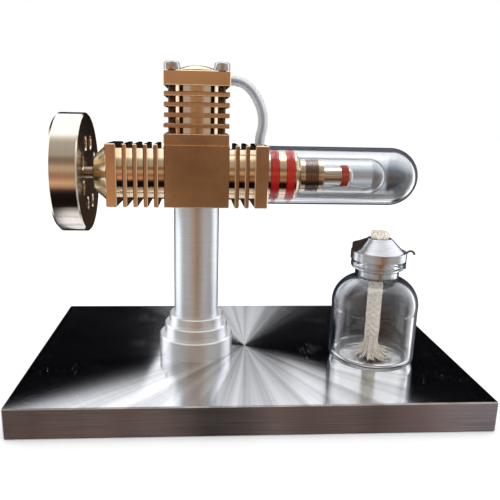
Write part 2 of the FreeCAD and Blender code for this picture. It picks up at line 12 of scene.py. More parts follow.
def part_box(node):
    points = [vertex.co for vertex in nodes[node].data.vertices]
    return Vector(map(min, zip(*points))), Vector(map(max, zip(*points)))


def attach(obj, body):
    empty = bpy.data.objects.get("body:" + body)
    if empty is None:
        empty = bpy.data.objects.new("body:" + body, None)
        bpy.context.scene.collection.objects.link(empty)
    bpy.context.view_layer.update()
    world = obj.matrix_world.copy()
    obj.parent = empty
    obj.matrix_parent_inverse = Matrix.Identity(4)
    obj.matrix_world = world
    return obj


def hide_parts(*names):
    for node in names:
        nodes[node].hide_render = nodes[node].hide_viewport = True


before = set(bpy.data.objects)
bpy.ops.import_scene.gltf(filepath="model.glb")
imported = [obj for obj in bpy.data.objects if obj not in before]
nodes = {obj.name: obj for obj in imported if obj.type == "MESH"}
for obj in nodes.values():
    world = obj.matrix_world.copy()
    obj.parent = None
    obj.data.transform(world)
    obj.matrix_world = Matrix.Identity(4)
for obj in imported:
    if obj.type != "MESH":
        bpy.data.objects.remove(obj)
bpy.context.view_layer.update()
scene = bpy.context.scene

MM = 0.001
TAU = 2 * math.pi
random.seed(7)


def centre(node_name):
    low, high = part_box(node_name)
    return (low + high) / 2


# ---- places, from the frame ----
plate_bottom, plate_top = (corner.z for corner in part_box("base_plate"))
column = centre("column_post")
shaft_axis = centre("crankshaft")
lamp = centre("lamp_bottle")
head_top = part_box("cylinder_head")[1].z
cap_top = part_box("lamp_cap")[1].z
wick_low, wick_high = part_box("lamp_wick")


# ---------------------------------------------------------------- camera
def make_camera():
    """The camera's place and turn: to the right, down, and a slight roll."""
    yaw, pitch, roll = 0.068, 0.2403, -0.0203
    ahead = Vector((math.sin(yaw) * math.cos(pitch), math.cos(yaw) * math.cos(pitch), -math.sin(pitch)))
    right = Vector((math.cos(yaw), -math.sin(yaw), 0))
    down = ahead.cross(right)
    right_rolled = right * math.cos(roll) + down * math.sin(roll)
    down_rolled = down * math.cos(roll) - right * math.sin(roll)
    data = bpy.data.cameras.new("camera")
    data.lens, data.sensor_width = 39.63, 36.0
    data.shift_x, data.shift_y = 0.0337, 0.0114
    data.clip_start = 0.01
    camera = bpy.data.objects.new("camera", data)
    turn = Matrix((right_rolled, -down_rolled, -ahead)).transposed().to_4x4()
    place = Vector((-18.27, -194.22, 92.59)) * MM
    camera.matrix_world = Matrix.Translation(place) @ turn
    scene.collection.objects.link(camera)
    scene.camera = camera


# ---------------------------------------------------------------- node helpers
class Tree:
    """A node tree with short ways to add a node and to link it."""

    def __init__(self, tree):
        self.tree = tree
        tree.nodes.clear()

    def add(self, kind, *inputs, **settings):
        """Adds a node. inputs fill its sockets in order, and None leaves one as it is."""
        n = self.tree.nodes.new("ShaderNode" + kind)
        for name, value in settings.items():
            setattr(n, name, value)
        for socket, value in zip(n.inputs, inputs):
            self.put(socket, value)
        return n

    def put(self, socket, value):
        if value is None:
            return
        if isinstance(value, bpy.types.NodeSocket):
            self.tree.links.new(value, socket)
        else:
            socket.default_value = value

    def math(self, operation, *values, clamp=False):
        return self.add("Math", *values, operation=operation, use_clamp=clamp).outputs[0]

    def times(self, a, b):
        return self.math("MULTIPLY", a, b)

    def plus(self, a, b):
        return self.math("ADD", a, b)

    def minus(self, a, b):
        return self.math("SUBTRACT", a, b)

    def away(self, a, b):
        """How far the point (a, b) is from (0, 0)."""
        return self.math("SQRT", self.plus(self.times(a, a), self.times(b, b)))

    def vector(self, operation, *values):
        return self.add("VectorMath", *values, operation=operation).outputs[0]

    def xyz(self, vector):
        return self.add("SeparateXYZ", vector).outputs

    def combine(self, x, y, z):
        return self.add("CombineXYZ", x, y, z).outputs[0]

    def noise(self, vector, scale, detail=2.0, rough=0.5):
        n = self.add("TexNoise")
        self.put(n.inputs["Vector"], vector)
        n.inputs["Scale"].default_value = scale
        n.inputs["Detail"].default_value = detail
        n.inputs["Roughness"].default_value = rough
        return n.outputs[0]

    def ramp(self, value, stops, mode="LINEAR"):
        """stops are (place, grey or colour)."""
        n = self.add("ValToRGB", value)
        n.color_ramp.interpolation = mode
        marks = n.color_ramp.elements
        marks[0].position, marks[1].position = stops[0][0], stops[-1][0]
        for place, _ in stops[1:-1]:
            marks.new(place)
        for mark, (place, shade) in zip(marks, stops):
            mark.color = (*shade, 1) if isinstance(shade, tuple) else (shade, shade, shade, 1)
        return n.outputs[0]

    def fit(self, value, low, high, to_low=0.0, to_high=1.0, smooth=False):
        kind = "SMOOTHSTEP" if smooth else "LINEAR"
        return self.add("MapRange", value, low, high, to_low, to_high, interpolation_type=kind).outputs[0]

    def mix(self, share, a, b, blend="MIX"):
        n = self.add("Mix", data_type="RGBA", blend_type=blend)
        for name, value in (("Factor_Float", share), ("A_Color", a), ("B_Color", b)):
            socket = next(s for s in n.inputs if s.identifier == name)
            if isinstance(value, tuple) and len(value) == 3:
                value = (*value, 1)
            self.put(socket, value)
        return next(s for s in n.outputs if s.identifier == "Result_Color")


def material(name, colour, rough, metal=0.0, **settings):
    """A Principled material and its tree. settings are the shader's other sockets, _ for a space."""
    mat = bpy.data.materials.new(name)
    mat.use_nodes = True
    tree = Tree(mat.node_tree)
    shader = tree.add("BsdfPrincipled")
    out = tree.add("OutputMaterial", shader.outputs[0])
    tree.shader, tree.out, tree.material = shader, out, mat
    settings.update(Base_Color=(*colour, 1), Roughness=rough, Metallic=metal)
    for key, value in settings.items():
        shader.inputs[key.replace("_", " ")].default_value = value
    return tree


def bump(tree, height, strength, distance=0.0001):
    n = tree.add("Bump")
    n.inputs["Strength"].default_value = strength
    n.inputs["Distance"].default_value = distance
    tree.put(n.inputs["Height"], height)
    tree.put(tree.shader.inputs["Normal"], n.outputs[0])


def place_of(tree, origin=None):
    """The point on the object, counted from origin."""
    point = tree.add("TexCoord").outputs["Object"]
    return point if origin is None else tree.vector("SUBTRACT", point, tuple(origin))


def stretched(tree, point, scales, **settings):
    """Noise stretched by a scale for each axis."""
    return tree.noise(tree.vector("MULTIPLY", point, scales), 1.0, **settings)


def across_turning(tree, point, axis):
    """On a turned piece, the direction across the tool marks: normal x (axis x radius)."""
    along = tree.vector("CROSS_PRODUCT", axis, point)
    return tree.vector("CROSS_PRODUCT", tree.add("NewGeometry").outputs["Normal"], along)


X_AXIS, Z_AXIS = (1, 0, 0), (0, 0, 1)


# ---------------------------------------------------------------- metals
def turned_marks(tree, point, axis, pitch):
    """Fine rings round the axis: noise read along it and outwards from it."""
    x, y, z = tree.xyz(point)
    if axis == X_AXIS:
        length, a, b = x, y, z
    else:
        length, a, b = z, x, y
    radius = tree.away(a, b)
    turn = tree.math("ARCTAN2", a, b)
    drift = tree.times(turn, 0.6)
    where = tree.combine(tree.math("DIVIDE", length, pitch), tree.math("DIVIDE", radius, pitch), drift)
    return tree.noise(where, 1.0, detail=3.0)


def turned_metal(name, colour, rough, origin, axis, aniso=0.6, pitch=0.0002, strength=0.08, vary=0.12):
    """Metal finished on a lathe."""
    tree = material(name, colour, rough, 1.0, Anisotropic=aniso)
    point = place_of(tree, origin)
    marks = turned_marks(tree, point, axis, pitch)
    tree.put(tree.shader.inputs["Tangent"], across_turning(tree, point, axis))
    bump(tree, marks, strength, 0.00002)
    shade = tree.fit(marks, 0.3, 0.7, 1 - vary, 1.0)
    tree.put(tree.shader.inputs["Base Color"], tree.mix(1.0, colour, shade, "MULTIPLY"))
    return tree


def milled_metal(name, colour, rough, vary=0.10, strength=0.05, aniso=0.35):
    """Polished block faces with faint tool lines and slight tarnish."""
    tree = material(name, colour, rough, 1.0, Anisotropic=aniso)
    point = place_of(tree)
    lines = stretched(tree, point, (250, 250, 6000), detail=2.0)
    clouds = tree.noise(point, 120.0, detail=3.0)
    tree.put(tree.shader.inputs["Tangent"], tree.combine(0, 0, 1))
    bump(tree, lines, strength, 0.00002)
    dark = tuple(c * (1 - vary) for c in colour)
    warm = tree.mix(tree.fit(clouds, 0.35, 0.65), dark, colour)
    tree.put(tree.shader.inputs["Base Color"], warm)
    tree.put(tree.shader.inputs["Roughness"], tree.fit(clouds, 0.3, 0.7, rough * 0.8, rough * 1.25))
    return tree


def bolt_metal(head_z):
    """Plated bolts: heads with wear, and threaded shanks below head_z painted dark brown with striped
    threads as painted shade between the fins.
    """
    tree = material("bolt_steel", (0.6, 0.58, 0.56), 0.16, 1.0)
    thread_pitch = 0.45 * MM
    up = tree.minus(tree.xyz(place_of(tree))[2], head_z)
    turns = tree.times(up, TAU / thread_pitch)
    thread = tree.math("SINE", turns)
    wear = tree.noise(place_of(tree), 900.0, detail=3.0)
    # painted shade: the shanks between the fins are painted dark brown, with lighter and darker stripes
    # along the thread
    painted_shade_shank = tree.mix(tree.fit(thread, -1.0, 1.0), (0.045, 0.024, 0.015), (0.22, 0.12, 0.07))
    bright = tree.mix(tree.fit(wear, 0.35, 0.65), (0.42, 0.38, 0.36), (0.66, 0.63, 0.61))
    over = tree.math("GREATER_THAN", up, 0.0)
    tree.put(tree.shader.inputs["Base Color"], tree.mix(over, painted_shade_shank, bright))
    bump(tree, tree.times(thread, tree.minus(1.0, over)), 0.5, 0.0001)
    return tree


def plate_metal():
    """Face-turned top, with rings round the plate's middle and painted highlight streaks, and brushed
    sides painted darker and bluer as painted reflection and shade.
    """
    tree = material("plate_metal", (0.8, 0.8, 0.82), 0.08, 1.0, Anisotropic=1.0)
    whole = place_of(tree)
    point = place_of(tree, (0, 0, plate_top))
    x, y, _ = tree.xyz(point)
    normal = tree.add("NewGeometry").outputs["Normal"]
    top = tree.math("GREATER_THAN", tree.xyz(normal)[2], 0.5)
    side = tree.minus(1.0, top)
    radius = tree.away(x, y)
    turn = tree.math("ARCTAN2", y, x)
    flat_point = tree.combine(x, y, 0)

    # tool rings, fine and wide, and painted highlight streaks that fan out from the middle, lighter and
    # darker by turn in place of the turned top's fan-shaped reflections
    fine_rate, wide_rate = 4000, 500
    rings = tree.noise(tree.combine(tree.times(radius, fine_rate), tree.times(turn, 0.5), 0), 1.0)
    wide_rings = tree.noise(tree.combine(tree.times(radius, wide_rate), 3.0, 0), 1.0, detail=3.0)
    cos_turn, sin_turn = tree.math("COSINE", turn), tree.math("SINE", turn)
    turn_round = tree.combine(cos_turn, sin_turn, tree.times(radius, 0.5))
    painted_highlight_streaks = tree.noise(turn_round, 9.0, detail=4.0, rough=0.55)
    shade = tree.times(tree.fit(painted_highlight_streaks, 0.36, 0.60, 0.62, 1.0), tree.fit(wide_rings, 0.3, 0.7, 0.94, 1.0))
    top_colour = tree.mix(1.0, (0.86, 0.87, 0.90), shade, "MULTIPLY")

    # brushed sides, painted darker and bluer than the top as painted reflection and shade, with brushed
    # grain, clouds and broad lighter and darker stretches
    brushed = stretched(tree, whole, (55, 55, 3000), detail=5.0, rough=0.65)
    clouds = tree.noise(whole, 30.0, detail=3.0)
    wide = tree.fit(stretched(tree, whole, (22, 22, 4), detail=2.0), 0.38, 0.62, 0.55, 1.25)
    side_grain_painted_shade = tree.mix(tree.fit(brushed, 0.36, 0.64), (0.28, 0.33, 0.41), (0.59, 0.64, 0.78))
    side_colour = tree.mix(tree.fit(clouds, 0.3, 0.7), side_grain_painted_shade, (0.50, 0.47, 0.58))
    side_colour = tree.mix(1.0, side_colour, wide, "MULTIPLY")
    tree.put(tree.shader.inputs["Base Color"], tree.mix(top, side_colour, top_colour))
    tree.put(tree.shader.inputs["Tangent"], tree.mix(top, (0, 0, 1), flat_point))

    # the top shines most to the left and right of its middle
    shiny, rough_behind, more_before, rough_side = 0.055, 0.25, 0.10, 0.34
    behind = tree.math("POWER", tree.math("SINE", turn, clamp=True), 9.0)
    before = tree.math("POWER", tree.math("SINE", tree.times(turn, -1.0), clamp=True), 3.0)
    top_rough = tree.plus(tree.fit(behind, 0, 1, shiny, rough_behind), tree.times(before, more_before))
    roughness = tree.plus(tree.times(top_rough, top), tree.times(side, rough_side))
    tree.put(tree.shader.inputs["Roughness"], roughness)
    height = tree.plus(tree.times(tree.times(rings, top), 0.3), tree.times(brushed, side))
    bump(tree, height, 0.03, 0.00002)

    # specks of dust on the top, more of them in some patches
    dust = tree.noise(flat_point, 1700.0, detail=3.0, rough=0.6)
    dust_patch = tree.noise(flat_point, 60.0, detail=3.0)
    specks = tree.math("GREATER_THAN", dust, tree.fit(dust_patch, 0.40, 0.66, 0.80, 0.655))
    lint = tree.add("BsdfDiffuse", (0.75, 0.78, 0.85, 1))
    both = tree.add("MixShader", tree.times(specks, top), tree.shader.outputs[0], lint.outputs[0])
    tree.put(tree.out.inputs[0], both.outputs[0])
    return tree


# ---------------------------------------------------------------- glass, rubber, hose, cotton
def clear_glass(name, clear, edge, axis_point, across, rim_under, rim_over, gloss=0.14):
    """Glass that is clear face on, with painted shade where it is seen along its outer wall: a darker tint
    and a dark outline mixed in by how far from face on it is.

    across keeps the two directions that lead away from the glass's axis. rim_under and rim_over
    say how far from face on the dark outline starts, where the wall faces down and up.
    """
    rim_width, rim_share, outer_least = 0.09, 0.96, 0.12
    tree = material(name, clear, 0.0, 0.0, Transmission_Weight=1.0, IOR=1.47, Specular_IOR_Level=gloss)
    bump(tree, tree.noise(place_of(tree), 60.0, detail=1.0), 0.05, 0.0002)
    facing = tree.add("LayerWeight").outputs["Facing"]
    geometry = tree.add("NewGeometry").outputs
    away = tree.vector("NORMALIZE", tree.vector("MULTIPLY", place_of(tree, axis_point), across))
    outward = tree.add("VectorMath", away, geometry["Normal"], operation="DOT_PRODUCT").outputs["Value"]
    front = tree.fit(geometry["Backfacing"], 0, 1, 1, -1)
    outer = tree.math("GREATER_THAN", tree.times(outward, front), outer_least)
    middle = tuple(0.5 * (a + b) for a, b in zip(clear, edge))
    # painted shade: towards its outline the glass is tinted darker and then mixed into a dark outline, in
    # place of the dark surroundings seen through its edges
    painted_edge_tint = tree.ramp(facing, [(0.0, clear), (0.50, clear), (0.68, middle), (1.0, middle)])
    tree.put(tree.shader.inputs["Base Color"], painted_edge_tint)
    painted_dark_rim = tree.add("BsdfPrincipled")
    painted_dark_rim.inputs["Base Color"].default_value = (*edge, 1)
    painted_dark_rim.inputs["Roughness"].default_value = 0.3
    painted_dark_rim.inputs["Specular IOR Level"].default_value = 0.04
    start = tree.fit(tree.xyz(geometry["Normal"])[2], -1, 1, rim_under, rim_over)
    share = tree.fit(tree.minus(facing, start), 0.0, rim_width, 0.0, rim_share, smooth=True)
    both = tree.add("MixShader", tree.times(share, outer), tree.shader.outputs[0], painted_dark_rim.outputs[0])
    tree.put(tree.out.inputs[0], both.outputs[0])
    return tree


def rubber(name, colour, rough):
    tree = material(name, colour, rough, 0.0, Specular_IOR_Level=0.2, Coat_Weight=0.06, Coat_Roughness=0.2)
    point = place_of(tree)
    fine = tree.noise(point, 1500.0, detail=2.0)
    bump(tree, fine, 0.15, 0.00003)
    clouds = tree.noise(point, 300.0, detail=2.0)
    tree.put(tree.shader.inputs["Base Color"], tree.mix(clouds, tuple(0.75 * c for c in colour), colour))
    return tree


def hose_skin():
    """Clear silicone with painted light and shade by how face on it is: pale at its edges, and the bore's
    shade painted as a darker line along its middle.
    """
    tree = material("clear_hose", (0.93, 0.94, 0.95), 0.20, 0.0, Transmission_Weight=0.45, IOR=1.41,
                    Specular_IOR_Level=0.5)
    point = place_of(tree)
    clouds = tree.noise(point, 260.0, detail=3.0)
    bump(tree, clouds, 0.08, 0.0001)
    tree.put(tree.shader.inputs["Roughness"], tree.fit(clouds, 0.3, 0.7, 0.14, 0.26))
    facing = tree.add("LayerWeight").outputs["Facing"]
    # painted shade and light: darker grey face on for the bore's shade, pale towards the edges
    wall = tree.ramp(facing, [(0.0, (0.40, 0.43, 0.47)), (0.03, (0.46, 0.49, 0.53)),
                              (0.10, (0.84, 0.86, 0.88)), (0.30, (0.95, 0.96, 0.97)),
                              (1.0, (0.98, 0.98, 0.99))])
    mottle = tree.fit(clouds, 0.3, 0.7, 0.92, 1.0)
    tree.put(tree.shader.inputs["Base Color"], tree.mix(1.0, wall, mottle, "MULTIPLY"))
    return tree


def cotton():
    tree = material("wick_cotton", (0.86, 0.80, 0.70), 0.85, 0.0, Sheen_Weight=0.4, Sheen_Roughness=0.5)
    point = place_of(tree)
    fibre = stretched(tree, point, (4200, 4200, 900), detail=3.0)
    clouds = tree.noise(point, 700.0, detail=2.0)
    pale = tree.mix(tree.fit(clouds, 0.3, 0.7), (0.88, 0.79, 0.65), (0.99, 0.96, 0.91))
    shadow = tree.fit(fibre, 0.3, 0.7, 0.0, 0.28)
    tree.put(tree.shader.inputs["Base Color"], tree.mix(shadow, pale, (0.70, 0.58, 0.44)))
    bump(tree, fibre, 0.5, 0.0001)
    return tree


# ---------------------------------------------------------------- pieces
def link(name, data, mat, body, slot, *replaced):
    piece = bpy.data.objects.new(name, data)
    scene.collection.objects.link(piece)
    piece.data.materials.append(mat)
    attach(piece, body)
    if replaced:
        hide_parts(*replaced)
    return piece


def spline_points(points, bevel_name):
    """Points read from a NURBS spline through the route's control points."""
    data = bpy.data.curves.new(bevel_name, "CURVE")
    data.dimensions = "3D"
    spline = data.splines.new("NURBS")
    spline.points.add(len(points) - 1)
    for p, co in zip(spline.points, points):
        p.co = (*co, 1)
    spline.order_u = 3
    spline.use_endpoint_u = True
    data.resolution_u = 12
    probe = bpy.data.objects.new(bevel_name, data)
    scene.collection.objects.link(probe)
    bpy.context.view_layer.update()
    mesh = bpy.data.meshes.new_from_object(probe)
    line = [v.co.copy() for v in mesh.vertices]
    bpy.data.objects.remove(probe)
    bpy.data.meshes.remove(mesh)
    return line


def frames_along(line):
    """A steady pair of side directions at each point of a line."""
    ends = [(line[min(i + 1, len(line) - 1)] - line[max(i - 1, 0)]).normalized() for i in range(len(line))]
    side = ends[0].orthogonal().normalized()
    result = []
    for t in ends:
        side = (side - t * side.dot(t)).normalized()
        result.append((side.copy(), t.cross(side)))
    return result


def loft(name, rings):
    """A smooth mesh through rings of points, each as long as the others, open at its ends."""
    verts = [tuple(v) for ring in rings for v in ring]
    n = len(rings[0])
    faces = []
    for i in range(len(rings) - 1):
        for j in range(n):
            k = (j + 1) % n
            faces.append((i * n + j, i * n + k, (i + 1) * n + k, (i + 1) * n + j))
    mesh = bpy.data.meshes.new(name)
    mesh.from_pydata(verts, [], faces)
    mesh.shade_smooth()
    return mesh


def circle_rings(line, radius, sides):
    """A circle of points round each point of a line."""
    turns = [TAU * j / sides for j in range(sides)]
    return [[p + (u * math.cos(a) + v * math.sin(a)) * radius for a in turns]
            for p, (u, v) in zip(line, frames_along(line))]


# route of the hose, from the column's and the engine's axes, in millimetres
HOSE_ROUTE = [(10.7, 31.1), (14.0, 31.1), (17.3, 29.3), (19.8, 26.4), (21.6, 22.9),
              (22.5, 19.2), (22.4, 15.7), (21.5, 12.9), (21.5, 10.3)]
HOSE_R, HOSE_BORE, HOSE_SIDES = 1.65 * MM, 1.0 * MM, 32


def make_hose(mat):
    """The silicone hose from the cylinder head down to the cooler, with its bore."""
    route = [Vector((column.x + x * MM, column.y, shaft_axis.z + z * MM)) for x, z in HOSE_ROUTE]
    line = spline_points(route, "air_hose_line")
    outer = circle_rings(line, HOSE_R, HOSE_SIDES)
    inner = circle_rings(line, HOSE_BORE, HOSE_SIDES)
    mesh = loft("hose", outer + list(reversed(inner)) + [outer[0]])
    link("hose", mesh, mat, "frame", "clear_hose", "air_hose")


def tubes(name, strands, sides):
    """One mesh of many thin tubes. strands are (line, radius at the start, radius at the end)."""
    verts, faces = [], []
    for line, r0, r1 in strands:
        base = len(verts)
        last = len(line) - 1
        for i, (p, (u, v)) in enumerate(zip(line, frames_along(line))):
            r = r0 + (r1 - r0) * i / last
            for j in range(sides):
                a = TAU * j / sides
                verts.append(p + (u * math.cos(a) + v * math.sin(a)) * r)
        for i in range(last):
            for j in range(sides):
                k = (j + 1) % sides
                a, b = base + i * sides, base + (i + 1) * sides
                faces.append((a + j, a + k, b + k, b + j))
        faces.append(tuple(base + j for j in reversed(range(sides))))
        faces.append(tuple(base + last * sides + j for j in range(sides)))
    mesh = bpy.data.meshes.new(name)
    mesh.from_pydata([tuple(v) for v in verts], [], faces)
    mesh.shade_smooth()
    return mesh


# the wick: its braid, its frayed ends on the bottle's floor, and the head above the cap
BRAID_STEPS, BRAID_WAY, BRAID_PITCH = 90, 5, 11 * MM
BRAID_R, BRAID_STRAND, BRAID_WEAVE, CORE_R = 1.75 * MM, 0.72 * MM, 0.22 * MM, 1.5 * MM
FRAY_COUNT, FRAY_TALL, FRAY_STEPS = 210, 7 * MM, 8
FRAY_R, FRAY_TIP_R = 0.26 * MM, 0.15 * MM
HEAD_COUNT, HEAD_TURNS, HEAD_R, HEAD_STEPS = 46, 7, 3.3 * MM, 6
HEAD_STRAND, HEAD_TIP = 0.5 * MM, 0.42 * MM


def braid(x0, y0, low, high):
    """Strands wound both ways round a core, over and under each other."""
    strands = []
    for way in (1, -1):
        for s in range(BRAID_WAY):
            line = []
            for i in range(BRAID_STEPS + 1):
                z = low + (high - low) * i / BRAID_STEPS
                turn = way * TAU * ((z - low) / BRAID_PITCH) + TAU * s / BRAID_WAY
                r = BRAID_R + BRAID_WEAVE * way * math.cos(BRAID_WAY * turn)
                line.append(Vector((x0 + r * math.cos(turn), y0 + r * math.sin(turn), z)))
            strands.append((line, BRAID_STRAND, BRAID_STRAND))
    core_low = low - 2 * MM
    core = [Vector((x0, y0, core_low + (high - core_low) * i / 8)) for i in range(9)]
    strands.append((core, CORE_R, CORE_R))
    return strands


def frayed_ends(x0, y0, floor_z, fray_z):
    """Strands that fall from the braid and run out over the floor."""
    strands = []
    for _ in range(FRAY_COUNT):
        turn = random.uniform(0, TAU)
        start_r = random.uniform(0.3, 2.2) * MM
        reach = random.choice([random.uniform(2.5, 5.0), random.uniform(4.0, 8.2)]) * MM
        bend = turn + random.uniform(-0.7, 0.7)
        lift = random.uniform(0, 1.6) * MM * (1 - reach / (9 * MM))
        line = []
        for i in range(FRAY_STEPS + 1):
            t = i / FRAY_STEPS
            out = start_r + (reach - start_r) * t ** 2.2
            a = turn + (bend - turn) * t
            fall = (1 - t) ** 1.7
            z = floor_z + lift * (1 - t) + (fray_z + 0.5 * MM - floor_z) * fall
            z += random.uniform(-0.1, 0.1) * MM * t
            line.append(Vector((x0 + out * math.cos(a), y0 + out * math.sin(a), max(z, floor_z))))
        strands.append((line, FRAY_R, FRAY_TIP_R))
    return strands


def tuft(x0, y0, low, high):
    """The head: short ends of yarn packed over the cap's mouth."""
    strands = []
    for s in range(HEAD_COUNT):
        turn = TAU * s / HEAD_COUNT * HEAD_TURNS
        out = HEAD_R * math.sqrt((s + 0.5) / HEAD_COUNT)
        tall = (high - low) * math.sqrt(max(0.0, 1 - (out / (HEAD_R * 1.7)) ** 2))
        lean = random.uniform(-0.5, 0.5)
        line = []
        for i in range(HEAD_STEPS + 1):
            t = i / HEAD_STEPS
            r = out * (0.55 + 0.45 * math.sin(0.5 * math.pi * min(1, 1.5 * t)))
            a = turn + lean * t
            line.append(Vector((x0 + r * math.cos(a), y0 + r * math.sin(a), low - 0.2 * MM + tall * t)))
        strands.append((line, HEAD_STRAND, HEAD_TIP))
    return strands


def make_wick(mat):
    """A braid down through the cap, a tufted head above it and frayed ends on the bottle's floor."""
    floor_z = wick_low.z + 0.35 * MM
    fray_z = floor_z + FRAY_TALL
    neck_z = cap_top - 0.3 * MM
    head_z = wick_high.z - 0.45 * MM
    x0, y0 = (wick_low.x + wick_high.x) / 2, (wick_low.y + wick_high.y) / 2
    strands = braid(x0, y0, fray_z, neck_z) + frayed_ends(x0, y0, floor_z, fray_z)
    strands += tuft(x0, y0, neck_z, head_z)
    link("wick", tubes("wick", strands, 8), mat, "lamp_cap", "wick_cotton", "lamp_wick")


# ---------------------------------------------------------------- finish on the CAD nodes
SHARP_EDGE = math.radians(28)


def smooth(node):
    """Smooth shading across the turned faces, with sharp edges kept."""
    node.data.shade_smooth()
    node.data.set_sharp_from_angle(angle=SHARP_EDGE)


def paint(names, tree):
    for name in names.split():
        node = nodes[name]
        node.data.materials.clear()
        node.data.materials.append(tree.material)


def finish_nodes():
    upright = Vector((column.x, column.y, 0))
    lamp_axis = Vector((lamp.x, lamp.y, 0))

    def turned_x(name, colour, rough, **settings):
        return turned_metal(name, colour, rough, shaft_axis, X_AXIS, **settings)

    def turned_z(name, colour, rough, **settings):
        return turned_metal(name, colour, rough, upright, Z_AXIS, **settings)

    brass, pale_brass = (0.84, 0.665, 0.465), (0.90, 0.78, 0.55)
    paint("crankcase crankcase_cover cylinder_head power_cylinder bearing_housing cooler_block",
          milled_metal("copper_brass", brass, 0.11))
    paint("nose_cone displacer_collars", turned_x("nose_brass", pale_brass, 0.2, vary=0.25))
    paint("head_dome", turned_z("dome_brass", pale_brass, 0.2))
    paint("hose_barbs", turned_x("copper_brass_turned_x", brass, 0.16))
    paint("flywheel", turned_x("wheel_metal", (0.83, 0.76, 0.68), 0.15, aniso=0.7))
    paint("displacer_plug", turned_x("dark_copper", (0.21, 0.09, 0.06), 0.28))
    paint("column_post", turned_z("column_metal", (0.82, 0.855, 0.90), 0.36, aniso=0.3, strength=0.12))
    paint("column_foot", turned_z("foot_metal", (0.95, 0.965, 0.99), 0.36, aniso=0.3, strength=0.12))
    paint("column_screw post_screw cooler_stud flywheel_grub_screw",
          turned_z("screw_steel", (0.72, 0.71, 0.70), 0.14))
    paint("head_bolts", bolt_metal(head_top))
    paint("bearing_outer_races bearing_inner_races bearing_balls",
          turned_x("bearing_steel", (0.76, 0.76, 0.77), 0.12))
    paint("guide_rod crank_pin wrist_pin crank_disc cylinder_liner",
          turned_x("shaft_steel", (0.80, 0.77, 0.73), 0.16))
    # painted reflection: the crankshaft is painted dark brown for the dark reflection along the shaft
    paint("crankshaft", turned_x("crankshaft_steel_painted_dark", (0.40, 0.32, 0.24), 0.14))
    paint("connecting_rod", milled_metal("rod_metal", (0.80, 0.80, 0.81), 0.2))
    paint("piston", turned_z("piston_black", (0.16, 0.16, 0.17), 0.35))
    paint("lamp_cap", turned_metal("cap_metal", (0.78, 0.82, 0.89), 0.30, lamp_axis, Z_AXIS,
                                   aniso=0.6, vary=0.3))
    paint("lamp_tab", milled_metal("tab_metal", (0.10, 0.10, 0.12), 0.25))
    paint("lamp_clip", milled_metal("wire_steel", (0.22, 0.22, 0.24), 0.3))
    paint("base_plate", plate_metal())

    across_x, across_z = (0, 1, 1), (1, 1, 0)
    white, pale = (0.985, 0.992, 0.995), (0.97, 0.98, 0.99)
    # navy and grey are the painted shade of the glass outlines
    navy, grey = (0.016, 0.020, 0.036), (0.25, 0.28, 0.33)
    paint("hot_tube", clear_glass("tube_glass", white, navy, shaft_axis, across_x, 0.68, 0.42))
    paint("lamp_bottle", clear_glass("bottle_glass", white, navy, lamp_axis, across_z, 0.70, 0.52,
                                     gloss=0.11))
    paint("displacer_tube", clear_glass("displacer_glass", pale, grey, shaft_axis, across_x, 0.68, 0.50))
    paint("spigot_o_rings bumper_ring head_seal", rubber("red_rubber", (0.78, 0.010, 0.004), 0.45))
    for node in nodes.values():
        smooth(node)


# ---------------------------------------------------------------- studio
FLOOR_HALF, FLOOR_GAP = 3.0, 0.05 * MM


def make_floor():
    """A plain pale floor, which the metal and the glass don't mirror."""
    low, high = -FLOOR_HALF, FLOOR_HALF
    mesh = bpy.data.meshes.new("floor")
    mesh.from_pydata([(low, low, 0), (high, low, 0), (high, high, 0), (low, high, 0)], [], [(0, 1, 2, 3)])
    floor = bpy.data.objects.new("floor", mesh)
    scene.collection.objects.link(floor)
    tree = material("floor", (0.93, 0.93, 0.93), 0.7)
    fine = tree.noise(place_of(tree), 40.0, detail=2.0)
    tree.put(tree.shader.inputs["Base Color"], tree.mix(fine, (0.92, 0.92, 0.92), (0.95, 0.95, 0.95)))
    mesh.materials.append(tree.material)
    floor.location.z = plate_bottom - FLOOR_GAP
    floor.visible_glossy = False
    floor.visible_transmission = False


# the room in front that the metal mirrors, by the angle up from straight ahead of the object's
# front, in degrees, over the top to straight behind: (angle, light)
ROOM = [(-180, (0.02, 0.016, 0.014)), (-36, (0.010, 0.007, 0.006)), (-31, (0.03, 0.016, 0.012)),
        (-27, (0.15, 0.07, 0.035)), (-23, (0.48, 0.28, 0.16)), (-15, (0.80, 0.50, 0.30)),
        (-8, (0.56, 0.31, 0.18)), (-3, (0.38, 0.20, 0.115)), (4, (0.42, 0.24, 0.14)),
        (8, (0.54, 0.38, 0.25)), (16, (0.54, 0.38, 0.25)), (20, (0.34, 0.22, 0.15)),
        (27, (0.22, 0.14, 0.09)), (32, (0.26, 0.18, 0.12)), (37, (0.42, 0.36, 0.29)),
        (64, (0.50, 0.46, 0.40)), (72, (0.80, 0.76, 0.70)), (84, (1.6, 1.6, 1.6)), (135, (1.5, 1.5, 1.5)),
        (154, (1.15, 1.16, 1.18)), (180, (1.15, 1.16, 1.18))]
BRIGHTEST = 1.6
SIDE_WHITE, SIDE_GREY = (1.45, 1.45, 1.48), (0.50, 0.47, 0.44)
BACK_DARK = (0.0022, 0.0020, 0.0026)
BACK_LOW = (0.035, 0.022, 0.016)
# top of the dark behind: (how far to the right, how high), both over the distance straight back
DARK_EDGE = [(-0.6, 0.63), (-0.29, 0.545), (-0.10, 0.497), (-0.05, 0.41), (0.03, 0.40), (0.06, 0.432),
             (0.10, 0.45), (0.19, 0.48), (0.30, 0.515), (0.456, 0.595), (0.6, 0.66)]
